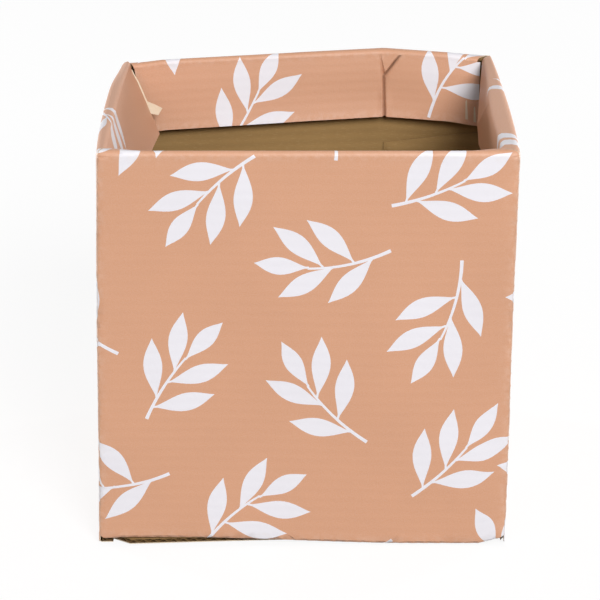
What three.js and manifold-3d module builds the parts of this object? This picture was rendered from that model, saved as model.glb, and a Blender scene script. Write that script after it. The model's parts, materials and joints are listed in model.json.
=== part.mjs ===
import * as THREE from 'three';
import { mergeVertices } from 'three/addons/utils/BufferGeometryUtils.js';
import loadManifold from 'manifold-3d';

// Fold-flat square pot cover of fine corrugated board: four walls, a double-creased rim
// whose flaps turn down inside, and an automatic bottom that locks when the tube is squared.
// Millimetres, +Z up, origin at the middle of the base, front wall facing -Y.

// Overall size over the printed face
const outerWidth = 140;
const outerDepth = 140;
const outerHeight = 140;

// Board, from the printed face inwards
const faceSheet = 0.3;
const fluteHeight = 1.2;
const kraftLiner = 0.3;
const glueLine = 0.05;
const fluteMedium = 0.2;
const flutePitch = 3.5;
const fluteCrest = 0.7;

// Rim and turned-in flaps
const rimGap = 1.2;
const flapDepth = 24.5;
const hingeGap = 0.3;
const flapEndGap = 2.3;
const flapLean = { front: 6, right: 3, back: 4, left: 18 }; // degrees in from hanging straight
const taperMargin = 0.5; // degrees by which a flap's end slants more than its neighbour leans
const shortFlapEndCut = 40; // degrees, ends of the left and right flaps

// Base flaps
const layerGap = 0.1;
const baseSideGap = 0.4;
const creaseGap = 0.5;
const tipShortfall = 6;
const lockReach = 5;
const lockStep = 4;
const lockBite = 3;
const lockTip = 1;
const longFlapSideTaper = 3.5;
const shortFlapTipLength = 6;
const shortFlapShoulderReach = 40;
const shortFlapShoulderInset = 25;
const shortFlapCornerInset = 8;
const glueFlapEdgeInset = 0.5;
const glueFlapRelief = 11;
const glueFlapReliefSlant = 5;

// Glue tab that closes the tube, inside the back wall
const tabWidth = 40;
const tabTopGap = 3;
const tabBottomGap = 1;
const tabTaper = 6;
const cornerGap = 0.1;

// Ply positions and the sizes that follow from the board
const fluteInset = faceSheet + glueLine;
const linerInset = fluteInset + fluteHeight + glueLine;
const board = linerInset + kraftLiner;
const rimWidth = 2 * board + rimGap;
const creaseHeight = outerHeight - board;
const longFlapLayer = board + layerGap;
const baseTop = longFlapLayer + board;
const foldInset = board + baseSideGap;
const radians = THREE.MathUtils.degToRad;

const printedPaper = new THREE.MeshStandardMaterial({ color: 0xd8a282, roughness: 0.75, metalness: 0 });
const fluting = new THREE.MeshStandardMaterial({ color: 0x9a7d51, roughness: 0.9, metalness: 0 });
const kraftPaper = new THREE.MeshStandardMaterial({ color: 0x81653c, roughness: 0.9, metalness: 0 });

const wasm = await loadManifold();
wasm.setup();

function toSolid(geometry) {
  const bare = geometry.clone();
  bare.deleteAttribute('normal');
  bare.deleteAttribute('uv');
  const merged = mergeVertices(bare, 1e-4);
  const mesh = new wasm.Mesh({
    numProp: 3,
    vertProperties: new Float32Array(merged.attributes.position.array),
    triVerts: new Uint32Array(merged.index.array),
  });
  return new wasm.Manifold(mesh);
}

function intersection(geometryA, geometryB) {
  const mesh = toSolid(geometryA).intersect(toSolid(geometryB)).getMesh();
  const geometry = new THREE.BufferGeometry();
  geometry.setAttribute('position', new THREE.BufferAttribute(new Float32Array(mesh.vertProperties), 3));
  geometry.setIndex(new THREE.BufferAttribute(new Uint32Array(mesh.triVerts), 1));
  geometry.computeVertexNormals();
  return geometry;
}

// Every panel is drawn in its side's own frame: x along the side, y inwards from the
// printed face of the wall, z up.

// Plan outline (x, y) raised from one height to another.
function raise(shape, bottom, top) {
  const geometry = new THREE.ExtrudeGeometry(shape, {
    depth: top - bottom,
    bevelEnabled: false,
    curveSegments: 4,
  });
  return geometry.translate(0, 0, bottom);
}

// Section (y, z) run along the side from x = -1 to x = 1, to be given its ends by placeEnds.
function runAlong(shape) {
  const geometry = new THREE.ExtrudeGeometry(shape, {
    depth: 2,
    bevelEnabled: false,
    curveSegments: 4,
  });
  const turn = new THREE.Matrix4().set(0, 0, 1, -1, 1, 0, 0, 0, 0, 1, 0, 0, 0, 0, 0, 1);
  return geometry.applyMatrix4(turn);
}

// Moves the two end faces of a run to the half length that halfAt(y, z, end) gives, where
// end is -1 or 1.
function placeEnds(geometry, halfAt) {
  const place = geometry.attributes.position;
  for (let i = 0; i < place.count; i += 1) {
    const end = Math.sign(place.getX(i));
    place.setX(i, end * halfAt(place.getY(i), place.getZ(i), end));
  }
  geometry.computeVertexNormals();
  return geometry;
}

function polygon(points) {
  return new THREE.Shape(points.map(([x, y]) => new THREE.Vector2(x, y)));
}

function rectangle(x0, y0, x1, y1) {
  return polygon([[x0, y0], [x1, y0], [x1, y1], [x0, y1]]);
}

// Outline of the fluted sheet between two heights of the board, as [along, across] points.
// A whole number of flutes fills the stretch.
function fluteOutline(from, to, low) {
  const count = Math.max(1, Math.round((to - from) / flutePitch));
  const pitch = (to - from) / count;
  const slope = pitch / 2 - fluteCrest;
  const high = low + fluteHeight - fluteMedium;
  const under = [];
  for (let i = 0; i < count; i += 1) {
    const start = from + i * pitch;
    under.push([start, low]);
    under.push([start + fluteCrest, low]);
    under.push([start + fluteCrest + slope, high]);
    under.push([start + 2 * fluteCrest + slope, high]);
  }
  under.push([to, low]);
  const over = under.map(([along, across]) => [along, across + fluteMedium]).reverse();
  return under.concat(over);
}

const uprightFlutes = (from, to, low) => polygon(fluteOutline(from, to, low).map(([a, b]) => [b, a]));
const lyingFlutes = (from, to, low) => polygon(fluteOutline(from, to, low));

function addPiece(parent, name, geometry, material) {
  const mesh = new THREE.Mesh(geometry, material);
  mesh.name = name;
  parent.add(mesh);
}

// Wall: the face sheet bends round half of each upright corner, the flutes and the liner
// stop at the crease.
function addWall(panel, name, half, bottom) {
  const top = creaseHeight - glueLine;
  const bend = linerInset;
  const inner = bend - faceSheet;
  const centre = half - bend;
  const reach = Math.PI / 4 - cornerGap / bend;
  const face = new THREE.Shape();
  face.moveTo(-centre, 0);
  face.lineTo(centre, 0);
  face.absarc(centre, bend, bend, -Math.PI / 2, -Math.PI / 2 + reach, false);
  face.absarc(centre, bend, inner, -Math.PI / 2 + reach, -Math.PI / 2, true);
  face.lineTo(-centre, faceSheet);
  face.absarc(-centre, bend, inner, -Math.PI / 2, -Math.PI / 2 - reach, true);
  face.absarc(-centre, bend, bend, -Math.PI / 2 - reach, -Math.PI / 2, false);
  addPiece(panel, `${name}_wall_face`, raise(face, bottom, top), printedPaper);

  const flutes = runAlong(uprightFlutes(bottom + fluteInset, top, fluteInset));
  addPiece(panel, `${name}_wall_flutes`, placeEnds(flutes, () => half - linerInset), fluting);

  const linerHalf = half - board - glueLine;
  const liner = raise(rectangle(-linerHalf, linerInset, linerHalf, board), bottom + linerInset, top);
  addPiece(panel, `${name}_wall_liner`, liner, kraftPaper);
}

// Section of the rim as it rolls from the wall to the flap: an arch at the given depth
// below the printed face.
function archPath(path, depth, reversed) {
  const radius = board - depth;
  const right = rimWidth - board;
  if (reversed) {
    path.absarc(right, creaseHeight, radius, 0, Math.PI / 2, false);
    path.absarc(board, creaseHeight, radius, Math.PI / 2, Math.PI, false);
  } else {
    path.absarc(board, creaseHeight, radius, Math.PI, Math.PI / 2, true);
    path.absarc(right, creaseHeight, radius, Math.PI / 2, 0, true);
  }
}

// Rim strip: face sheet over the board crushed between the two creases, mitred at the corners.
function addRim(panel, name, half) {
  const mitre = (y) => half - y - cornerGap;
  const face = new THREE.Shape();
  face.moveTo(0, creaseHeight);
  archPath(face, 0, false);
  face.lineTo(rimWidth - faceSheet, creaseHeight);
  archPath(face, faceSheet, true);
  addPiece(panel, `${name}_rim_face`, placeEnds(runAlong(face), mitre), printedPaper);

  const core = new THREE.Shape();
  core.moveTo(fluteInset, creaseHeight);
  archPath(core, fluteInset, false);
  addPiece(panel, `${name}_rim_board`, placeEnds(runAlong(core), mitre), kraftPaper);
}

// Turned-in flap, hung on the printed face at the rim's inner crease and leaning inwards.
// Its own frame has the crease on the x axis; y points into the pot. Each end slants by its
// own taper.
function addFlap(panel, name, half, lean, startTaper, endTaper) {
  const flap = new THREE.Group();
  flap.position.set(0, rimWidth, creaseHeight);
  flap.rotation.x = radians(lean);
  panel.add(flap);
  const top = -hingeGap;
  const bottom = -flapDepth;
  const creaseHalf = half - rimWidth - flapEndGap;
  const ends = (y, z, end) => creaseHalf + z * Math.tan(end < 0 ? startTaper : endTaper);
  const ply = (shape) => placeEnds(runAlong(shape), ends);
  addPiece(flap, `${name}_flap_face`, ply(rectangle(-faceSheet, bottom, 0, top)), printedPaper);
  const flutes = ply(uprightFlutes(bottom, top, -fluteInset - fluteHeight));
  addPiece(flap, `${name}_flap_flutes`, flutes, fluting);
  addPiece(flap, `${name}_flap_liner`, ply(rectangle(-board, bottom, -linerInset, top)), kraftPaper);
}

// Flap of the base in three plies, printed face down. outlineFrom(start) gives its plan with
// the folded edge at that distance from the wall's face: each ply starts against the same
// ply of the wall above it, so the sheets nest round the crease.
function addBasePlies(panel, name, outlineFrom, layer) {
  const face = raise(polygon(outlineFrom(fluteInset)), layer, layer + faceSheet);
  addPiece(panel, `${name}_face`, face, printedPaper);

  const stamp = outlineFrom(linerInset);
  const along = stamp.map(([x]) => Math.abs(x));
  const across = stamp.map(([, y]) => y);
  const sheet = runAlong(lyingFlutes(Math.min(...across), Math.max(...across), layer + fluteInset));
  placeEnds(sheet, () => Math.max(...along));
  const flutes = intersection(sheet, raise(polygon(stamp), layer, layer + board));
  addPiece(panel, `${name}_flutes`, flutes, fluting);

  const liner = raise(polygon(outlineFrom(board + glueLine)), layer + linerInset, layer + board);
  addPiece(panel, `${name}_liner`, liner, kraftPaper);
}

// How far a diagonal crease runs in from its corner, square to the wall.
const tipReach = Math.min(outerWidth, outerDepth) / 2 - tipShortfall;
const widthSurplus = Math.max(0, (outerWidth - outerDepth) / 2);

// Long base flap: one end cut along the diagonal crease, the other reaching past the middle
// to lock with the opposite flap.
function addLongBaseFlap(panel, name, half, reach) {
  const side = half - foldInset;
  const step = widthSurplus + lockStep;
  const tip = tipReach + lockTip;
  const diagonal = (y) => y - half + board + creaseGap;
  const outlineFrom = (start) => [
    [diagonal(foldInset), start],
    [side, start],
    [side - longFlapSideTaper, reach + lockReach],
    [step, reach + lockReach],
    [step, reach - lockBite],
    [diagonal(tip), tip],
    [diagonal(foldInset), foldInset],
  ];
  addBasePlies(panel, `${name}_base_flap`, outlineFrom, longFlapLayer);
}

// Short base flap and the glue flap beyond its diagonal crease.
function addShortBaseFlap(panel, name, half) {
  const side = half - foldInset;
  const flapFrom = (start) => [
    [-side + shortFlapCornerInset, start],
    [side, start],
    [side, foldInset],
    [half - tipReach, tipReach],
    [half - tipReach - shortFlapTipLength, tipReach],
    [-half + shortFlapShoulderInset, shortFlapShoulderReach],
  ];
  addBasePlies(panel, `${name}_base_flap`, flapFrom, 0);

  const edge = half - glueFlapEdgeInset;
  const crease = (y) => half - y + creaseGap;
  const glueFlap = [
    [edge, glueFlapRelief],
    [edge, tipReach],
    [crease(tipReach), tipReach],
    [crease(glueFlapReliefSlant), glueFlapReliefSlant],
  ];
  addBasePlies(panel, `${name}_glue_flap`, () => glueFlap, 0);
}

// Glue tab: carries on from the right wall round the corner and lies on the back wall's liner.
function addGlueTab(panel, half) {
  const outer = board + glueLine;
  const bottom = baseTop + tabBottomGap;
  const top = creaseHeight - flapDepth - tabTopGap;
  const start = -half + foldInset;
  const end = -half + tabWidth;
  const outline = polygon([[start, bottom], [end, bottom + tabTaper], [end, top - tabTaper], [start, top]]);
  const stand = new THREE.Matrix4().set(1, 0, 0, 0, 0, 0, -1, 0, 0, 1, 0, 0, 0, 0, 0, 1);
  const upright = (near, far) => raise(outline, -far, -near).applyMatrix4(stand);
  addPiece(panel, 'glue_tab_face', upright(outer, outer + faceSheet), printedPaper);
  const sheet = placeEnds(runAlong(uprightFlutes(bottom, top, outer + fluteInset)), () => half);
  addPiece(panel, 'glue_tab_flutes', intersection(sheet, upright(outer, outer + board)), fluting);
  addPiece(panel, 'glue_tab_liner', upright(outer + linerInset, outer + board), kraftPaper);
}

const cachepot = new THREE.Group();
const sides = [
  { name: 'front', turn: 0, length: outerWidth, across: outerDepth, long: true },
  { name: 'right', turn: Math.PI / 2, length: outerDepth, across: outerWidth, long: false },
  { name: 'back', turn: Math.PI, length: outerWidth, across: outerDepth, long: true },
  { name: 'left', turn: -Math.PI / 2, length: outerDepth, across: outerWidth, long: false },
];

// Slant of a flap's end beside the flap of a neighbouring side. The short flaps are cut back
// further, so that they hang clear in front of the long ones.
function endTaper(long, neighbour) {
  const clear = flapLean[neighbour] + taperMargin;
  return radians(long ? clear : Math.max(clear, shortFlapEndCut));
}

for (const [i, { name, turn, length, across, long }] of sides.entries()) {
  const side = new THREE.Group();
  side.rotation.z = turn;
  cachepot.add(side);
  const panel = new THREE.Group();
  panel.position.y = -across / 2;
  side.add(panel);

  const half = length / 2;
  addWall(panel, name, half, long ? longFlapLayer : 0);
  addRim(panel, name, half);
  const previous = sides[(i + sides.length - 1) % sides.length].name;
  const next = sides[(i + 1) % sides.length].name;
  addFlap(panel, name, half, flapLean[name], endTaper(long, previous), endTaper(long, next));
  if (long) {
    addLongBaseFlap(panel, name, half, across / 2);
  } else {
    addShortBaseFlap(panel, name, half);
  }
  if (name === 'back') {
    addGlueTab(panel, half);
  }
}

export default cachepot;
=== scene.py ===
import json
import math

import bpy
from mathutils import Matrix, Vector
from mathutils.geometry import delaunay_2d_cdt


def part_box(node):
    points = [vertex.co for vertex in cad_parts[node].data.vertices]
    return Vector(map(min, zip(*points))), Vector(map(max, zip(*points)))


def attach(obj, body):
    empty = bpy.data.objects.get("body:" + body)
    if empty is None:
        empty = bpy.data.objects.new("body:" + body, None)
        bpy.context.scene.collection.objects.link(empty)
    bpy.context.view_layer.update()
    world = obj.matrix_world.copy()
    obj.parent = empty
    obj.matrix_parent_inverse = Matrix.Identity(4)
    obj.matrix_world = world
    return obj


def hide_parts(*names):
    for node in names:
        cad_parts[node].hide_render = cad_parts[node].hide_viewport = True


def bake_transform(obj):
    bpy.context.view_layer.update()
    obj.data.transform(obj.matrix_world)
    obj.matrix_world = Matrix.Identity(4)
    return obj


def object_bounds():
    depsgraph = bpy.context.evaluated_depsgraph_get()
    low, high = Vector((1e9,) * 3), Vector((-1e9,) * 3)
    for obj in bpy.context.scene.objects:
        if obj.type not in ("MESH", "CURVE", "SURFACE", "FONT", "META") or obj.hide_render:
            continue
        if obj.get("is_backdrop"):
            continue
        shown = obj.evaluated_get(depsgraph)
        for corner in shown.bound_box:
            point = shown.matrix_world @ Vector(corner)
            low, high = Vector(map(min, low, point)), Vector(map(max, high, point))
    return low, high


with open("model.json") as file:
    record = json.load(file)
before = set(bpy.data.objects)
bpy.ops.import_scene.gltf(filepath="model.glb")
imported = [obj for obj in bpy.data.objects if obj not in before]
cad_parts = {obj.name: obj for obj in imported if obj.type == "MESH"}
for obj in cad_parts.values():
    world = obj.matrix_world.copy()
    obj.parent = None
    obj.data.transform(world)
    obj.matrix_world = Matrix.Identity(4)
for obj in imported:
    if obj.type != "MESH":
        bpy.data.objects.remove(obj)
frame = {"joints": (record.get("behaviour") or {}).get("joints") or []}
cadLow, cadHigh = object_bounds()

# Cardboard pot cover: printed paper, flutes and kraft, folded from one blank.
# Shapes are worked out in millimetres and become metres when a mesh is made.
mm = 0.001
scene = bpy.context.scene
scene.view_settings.view_transform = "Standard"

sides = ["front", "right", "back", "left"]  # the order of the panels on the blank
quarterTurns = {"front": (1, 0), "right": (0, 1), "back": (-1, 0), "left": (0, -1)}  # cosine, sine
creases = {joint["child"].split("_")[0]: joint for joint in frame["joints"]}

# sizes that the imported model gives
half = cadHigh.x / mm
creaseHeight = creases["front"]["pos_m"][2] / mm
rimWidth = half + creases["front"]["pos_m"][1] / mm
lean = {side: -creases[side]["range_deg"][0] for side in sides}
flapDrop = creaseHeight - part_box("right_flap_face")[0].z / mm
flapDepth = flapDrop / math.cos(math.radians(lean["right"]))
wallBottom = {side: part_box(side + "_wall_face")[0].z / mm for side in sides}
baseLayer = {side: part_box(side + "_base_flap_face")[0].z / mm for side in sides}

board = {"face": 0.3, "glue": 0.05, "flute": 1.2, "medium": 0.2, "liner": 0.3, "pitch": 3.5}
fluteInset = board["face"] + board["glue"]
linerInset = fluteInset + board["flute"] + board["glue"]
boardThick = linerInset + board["liner"]
longSides = [side for side in sides if wallBottom[side] > boardThick / 2]  # their base flaps lie on top
cornerBend = linerInset  # radius of the printed sheet round an upright corner
cornerFlat = half - cornerBend
foldRadius = 1.0  # printed sheet under the lower edge
rimArc = boardThick * math.pi / 2
rimFlat = rimWidth - 2 * boardThick
rimRun = 2 * rimArc + rimFlat  # blank taken up by the rim
flapHalf = half - rimWidth
flapStart = creaseHeight + rimRun
flapLow = flapStart + flapDepth
roundBlank = 8 * half
print("blank: half", round(half, 2), "crease", round(creaseHeight, 2), "flap", round(flapDepth, 2))


def blankStart(side):
    return 2 * half * sides.index(side)


def smooth(low, high, value):
    t = min(max((value - low) / (high - low), 0.0), 1.0)
    return t * t * (3 - 2 * t)


# How the used carton stands: it leans, its sides bow, and its back is kinked beside the glue tab.
stance = {
    "lean": 1.76,
    "pinch": 0.6,
    "bowLeft": 1.8,
    "bowRight": 1.2,
    "kinkAt": 29.5,
    "kinkFrom": -66,
    "kinkTo": 67,
    "kinkOut": 4.5,
    "kinkPower": 1.3,
    "kinkUp": 2.5,
    "backDrop": 0.5,
    "backRise": 1.3,
    "backSag": 1.9,
    "ripple": 0.25,
    "sideWaves": (0.071, 0.035),  # radians for each millimetre along and up
    "frontWaves": (0.064, 0.041, 1.0),  # the same, and where they begin
}
# where each of these sets in: from the middle outwards, or by the share of the height
setsIn = {
    "pinch": (-66, 20),
    "bow": (50, 62),
    "kink": (56, 63),
    "backRim": (20, 66),
    "top": (0.4, 1.0),
    "ripple": (55, 64),
}


def kinkProfile(x):
    rising = (x - stance["kinkFrom"]) / (stance["kinkAt"] - stance["kinkFrom"])
    falling = (stance["kinkTo"] - x) / (stance["kinkTo"] - stance["kinkAt"])
    return max(0.0, min(rising, falling))


def settle(x, y, z, share=1.0):
    rise = max(z, 0.0) / creaseHeight
    top = smooth(*setsIn["top"], rise)
    dx = (stance["lean"] + stance["pinch"] * smooth(0, half, -x) * smooth(*setsIn["pinch"], -y)) * rise
    middle = max(0.0, 1 - (y / half) ** 2)
    dx -= stance["bowLeft"] * middle * rise * smooth(*setsIn["bow"], -x)
    dx += stance["bowRight"] * middle * rise * smooth(*setsIn["bow"], x)
    kink = kinkProfile(x) * smooth(*setsIn["kink"], y)
    dy = stance["kinkOut"] * kink * rise ** stance["kinkPower"]
    dz = stance["kinkUp"] * kink * top
    twist = stance["backRise"] if x > 0 else stance["backSag"]
    dz += (twist * x / half - stance["backDrop"]) * smooth(*setsIn["backRim"], y) * top
    wave = stance["ripple"] * math.sin(rise * math.pi)
    along, up = stance["sideWaves"]
    dx += wave * math.sin(y * along + z * up) * smooth(*setsIn["ripple"], abs(x))
    along, up, start = stance["frontWaves"]
    dy += wave * math.sin(x * along + z * up + start) * smooth(*setsIn["ripple"], abs(y))
    return (x + dx * share, y + dy * share, z + dz * share)


# The front wall stands off the floor on the left, over the glue flap, and sags to it on the right.
frontEdge = {
    "lift": 0.4,
    "drop": 2.25,
    "dropAlong": (-45, 40),
    "outer": -69,
    "inner": -66.5,  # the sag dies out between these two
    "wider": 7.5,
    "widerAlong": (-5, 20),
    "ends": (60, 68.5),
}


def frontSag(x, y):
    sag = frontEdge["lift"] - frontEdge["drop"] * smooth(*frontEdge["dropAlong"], x)
    inner = frontEdge["inner"] + frontEdge["wider"] * smooth(*frontEdge["widerAlong"], x)
    return sag * (1 - smooth(frontEdge["outer"], inner, y)) * (1 - smooth(*frontEdge["ends"], abs(x)))


def fromSide(side, along, inward, z, share=1.0):
    c, s = quarterTurns[side]
    w = inward - half
    x = along * c - w * s
    y = along * s + w * c
    if side == "front":
        z += frontSag(x, y) * max(0.0, 1 - z / creaseHeight)
    return settle(x, y, z, share)


# Every sheet is placed by u along the side, v up the blank and d below the printed face.
def wallPlace(side):
    bottom = wallBottom[side]

    def place(u, v, d):
        along = u
        inward = d
        z = v
        if abs(u) > cornerFlat:
            turn = (abs(u) - cornerFlat) / cornerBend
            along = math.copysign(cornerFlat + (cornerBend - d) * math.sin(turn), u)
            inward = cornerBend - (cornerBend - d) * math.cos(turn)
        elif v < bottom + foldRadius:
            turn = (bottom + foldRadius - v) / foldRadius
            inward = foldRadius - (foldRadius - d) * math.cos(turn)
            z = bottom + foldRadius - (foldRadius - d) * math.sin(turn)
        return fromSide(side, along, inward, z)

    return place


def rimSection(s, d):
    radius = boardThick - d
    if s < rimArc:
        turn = s / boardThick
        return boardThick - radius * math.cos(turn), creaseHeight + radius * math.sin(turn)
    if s < rimArc + rimFlat:
        return boardThick + s - rimArc, creaseHeight + radius
    turn = (s - rimArc - rimFlat) / boardThick
    return rimWidth - boardThick + radius * math.sin(turn), creaseHeight + radius * math.cos(turn)


# part of the stance that the flap creases follow, to stay on their hinges
creaseShare = {"front": 0.35, "right": 0.35, "back": 0.8, "left": 0.35}
hangShare = {"front": 0.8, "right": 0.8, "back": 1.35, "left": 0.8}  # the same at the flaps' lower edges
rimPinch = {"front": 0.0, "right": 0.45, "back": 0.0, "left": 0.0}  # share of the rim lost at its far end
pinchFrom = -20
rimDip = {"front": 1.2, "right": 0.0, "back": -1.0, "left": 0.0}  # inner edge below the outer one
dipEnds = 18  # from the corner, where the dip dies out


def rimScale(side, u):
    return 1 - rimPinch[side] * smooth(pinchFrom, flapHalf, u)


def dipAt(side, u):
    return rimDip[side] * (1 - smooth(half - dipEnds, flapHalf, abs(u)))


def rimPlace(side):
    def place(u, v, d):
        inward, z = rimSection(v - creaseHeight, d)
        z -= dipAt(side, u) * smooth(0, rimWidth, inward)
        share = 1 + (creaseShare[side] - 1) * smooth(0, rimWidth, inward)
        inward *= rimScale(side, u)
        along = u
        if abs(u) > cornerFlat and inward < cornerBend:
            radius = cornerBend - inward
            turn = min((abs(u) - cornerFlat) / radius, math.pi / 4)
            along = math.copysign(cornerFlat + radius * math.sin(turn), u)
            inward = cornerBend - radius * math.cos(turn)
        return fromSide(side, along, inward, z, share)

    return place


# Turned-in flaps: slant of the two ends in degrees, their gaps at the crease, extra lean and its twist.
flapLook = {
    "front": {"ends": (18.5, 3.5), "endGaps": (2.3, 2.3), "more": 0.0, "twist": 0.0},
    "right": {"ends": (40.0, 46.0), "endGaps": (1.5, 1.0), "more": 0.0, "twist": 0.0},
    "back": {"ends": (3.5, 10.0), "endGaps": (-0.9, 0.6), "more": 3.5, "twist": 0.0},
    "left": {"ends": (33.0, 40.0), "endGaps": (0.6, 1.5), "more": 1.5, "twist": -0.14},
}
flapRoom = {"leanIn": 6, "clear": 0.35, "least": 0.3}  # depth of the extra lean, room for the plies

# Folds pressed into the flaps by handling
kinkFold = {
    "depth": 0.9,
    "width": 0.8,
    "fork": 9.0,
    "branch": 6.4,
    "spur": 1.0,
    "fadeIn": 3,
    "crushed": 1.6,
    # darkness of the painted shade along each kink line: the crease, its branch and its spur
    "paintedShade": (0.6, 0.8, 0.2),
}
kinkFork = (-stance["kinkAt"], kinkFold["fork"])
kinkLines = [
    ((-stance["kinkAt"], flapDepth), kinkFork),
    (kinkFork, (-stance["kinkAt"] - kinkFold["branch"], 0.0)),
    (kinkFork, (-stance["kinkAt"] + kinkFold["spur"], 0.0)),
]
ridgeFold = {
    "start": 4.0,
    "slope": 0.46,
    "above": 10.0,
    "below": 1.0,
    "endInset": 20,
    "width": 0.5,
}


def distanceTo(line, u, s):
    (u0, s0), (u1, s1) = line
    du = u1 - u0
    ds = s1 - s0
    t = min(max(((u - u0) * du + (s - s0) * ds) / (du * du + ds * ds), 0.0), 1.0)
    return math.hypot(u - u0 - t * du, s - s0 - t * ds)


def ridgeAt(u):
    return (u - ridgeFold["start"]) * ridgeFold["slope"]


def flapFold(side, u, s, d):
    if side == "back":
        nearest = min(distanceTo(line, u, s) for line in kinkLines)
        if d > board["face"]:
            nearest = max(0.0, nearest - kinkFold["crushed"])
        pressed = max(0.0, 1 - nearest / kinkFold["width"])
        return -kinkFold["depth"] * pressed * smooth(0, kinkFold["fadeIn"], s)
    if side == "right":
        ridge = max(0.0, ridgeAt(u))
        above = math.tan(math.radians(ridgeFold["above"])) * min(s, ridge)
        below = math.tan(math.radians(ridgeFold["below"])) * max(0.0, s - ridge)
        return above + below - s * math.sin(math.radians(lean["right"]))
    return 0.0


def flapPlace(side):
    look = flapLook[side]

    def place(u, v, d):
        s = v - flapStart
        more = look["more"] + look["twist"] * min(u, 0.0)
        angle = math.radians(lean[side] + more * smooth(0, flapRoom["leanIn"], s))
        inward = rimWidth * rimScale(side, u) + flapFold(side, u, s, d) + s * math.sin(angle)
        room = max(inward - boardThick - flapRoom["clear"], flapRoom["least"])
        deep = d * min(1.0, room / boardThick)  # the plies are squeezed where the wall is close
        inward -= deep * math.cos(angle)
        z = creaseHeight - dipAt(side, u) - deep * math.sin(angle) - s * math.cos(angle)
        share = creaseShare[side] + (hangShare[side] - creaseShare[side]) * smooth(0, flapDepth, s)
        return fromSide(side, u, inward, z, share)

    return place


def basePlace(side, layer):
    def place(u, v, d):
        return fromSide(side, u, -v, layer + d)

    return place


# Leaf sprigs of the print, drawn on the flat blank. Headings are in degrees from +u.
sprigLook = {
    "stemLong": 28.5,
    "stemShort": 25.5,
    "stemBase": 0.6,
    "stemTip": 0.35,
    "stemSteps": 60,
    "leafSteps": 14,
    "leafLength": 21.7,
    "leafWidth": 6.4,
    "leafPower": 1.15,  # thins the ends and moves the widest place towards the tip
    "leafRoot": 0.36,
    "rootShare": 0.3,
    "leafTip": 0.02,
    "leafCurl": 0.25,
    "topLeaf": 18.4,
    "topWidth": 0.95,
    "topCurl": 0.3,
    "open": 1.16,
    "wide": (40, 0.55),  # angle off the stem, and what the stem's bend adds
    "narrow": (45, -0.7),
    "closeWide": 14,  # the upper leaves lie closer to the stem
    "closeNarrow": 5,
    "wideFirst": (0.19, 0.32, 0.58, 0.75),  # places of the leaves along the stem
    "narrowFirst": (0.22, 0.45, 0.68, 0.81),
}


def curvedStrip(root, heading, bend, length, halfWidth):
    steps = sprigLook["leafSteps"]
    x, y = root
    left = []
    right = []
    for i in range(steps + 1):
        t = i / steps
        angle = math.radians(heading + bend * t)
        reach = halfWidth(t)
        left.append((x - reach * math.sin(angle), y + reach * math.cos(angle)))
        right.append((x + reach * math.sin(angle), y - reach * math.cos(angle)))
        x += math.cos(angle) * length / steps
        y += math.sin(angle) * length / steps
    return right + left[::-1]


def leafSpread(width):
    power = sprigLook["leafPower"]

    def halfWidth(t):
        swell = width / 2 * max(0.0, math.sin(math.pi * t ** power)) ** power
        return max(swell, sprigLook["leafRoot"] if t < sprigLook["rootShare"] else sprigLook["leafTip"])

    return halfWidth


def stemSpread(t):
    return sprigLook["stemBase"] + (sprigLook["stemTip"] - sprigLook["stemBase"]) * t


def leafAngle(kind, bend):
    angle, byBend = sprigLook[kind]
    return (angle + byBend * abs(bend)) * sprigLook["open"]


def sprigShapes(u, v, heading, bend, wideFirst, hand=0):
    length = sprigLook["stemShort"] if wideFirst else sprigLook["stemLong"]
    side = hand or (1 if bend > 0 else -1)
    wide = leafAngle("wide", bend)
    narrow = leafAngle("narrow", bend)
    wideAbove = wide - sprigLook["closeWide"]
    narrowAbove = sprigLook["closeNarrow"] - narrow
    if wideFirst:
        leaves = zip(sprigLook["wideFirst"], (wide, -narrow, wideAbove, narrowAbove))
    else:
        leaves = zip(sprigLook["narrowFirst"], (-narrow, wide, narrowAbove, wideAbove))
    shapes = [curvedStrip((u, v), heading, bend, length, stemSpread)]
    fine = sprigLook["stemSteps"]
    x, y = u, v
    stem = []
    for i in range(fine + 1):
        stem.append((x, y))
        angle = math.radians(heading + bend * i / fine)
        x += math.cos(angle) * length / fine
        y += math.sin(angle) * length / fine
    leafForm = leafSpread(sprigLook["leafWidth"])
    for t, away in leaves:
        root = stem[round(t * fine)]
        leafHeading = heading + bend * t + side * away
        curl = -sprigLook["leafCurl"] * side * away
        shapes.append(curvedStrip(root, leafHeading, curl, sprigLook["leafLength"], leafForm))
    topForm = leafSpread(sprigLook["leafWidth"] * sprigLook["topWidth"])
    topCurl = sprigLook["topCurl"] * bend
    shapes.append(curvedStrip(stem[-2], heading + bend, topCurl, sprigLook["topLeaf"], topForm))
    return shapes


# u, v, heading, bend, wide leaf first; u runs on round the blank from the middle of the front
frontSprigs = [
    (-17.3, 138.3, 212, 19, True),
    (28.2, 106.2, 205, -26, False),
    (28.1, 121.5, 11, 18, True),
    (51.9, 102.9, 269, -26, False),
    (-53.4, 46.0, 67, -18, True),
    (21.6, 39.0, 147, -23, False),
    (37.4, 19.6, 36, 17, True),
    (-34.7, -1.7, 56, -24, False),
    (-45.6, 26.0, 204, -31, False),
    (73.0, -26.0, 97, 15, True),
    (-40.2, 164.6, 228, -15, True),
    (9.4, 136.8, 85, 20, True),
    (-62.8, 69.5, 152, -24, False),
    (31.0, 3.4, 218, 10, True),
]
cornerSprigs = [
    (-116.0, 76.0, 94, 8, True),
    (-134.0, 137.0, 10, 12, True),
    (110.0, 84.0, 165, 10, True),
    (112.0, 24.0, 182, -12, False),
    (82.0, 110.0, 84, -14, True),
    (163.0, 104.0, 88, 10, True),
]
backSprigs = [
    (312.8, 181.7, 235, 8, False, -1),  # the last number turns its leaves over
    (233.8, 168.9, 254, -28, False),
    (331.0, 106.0, 86, 8, True),
]
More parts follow.
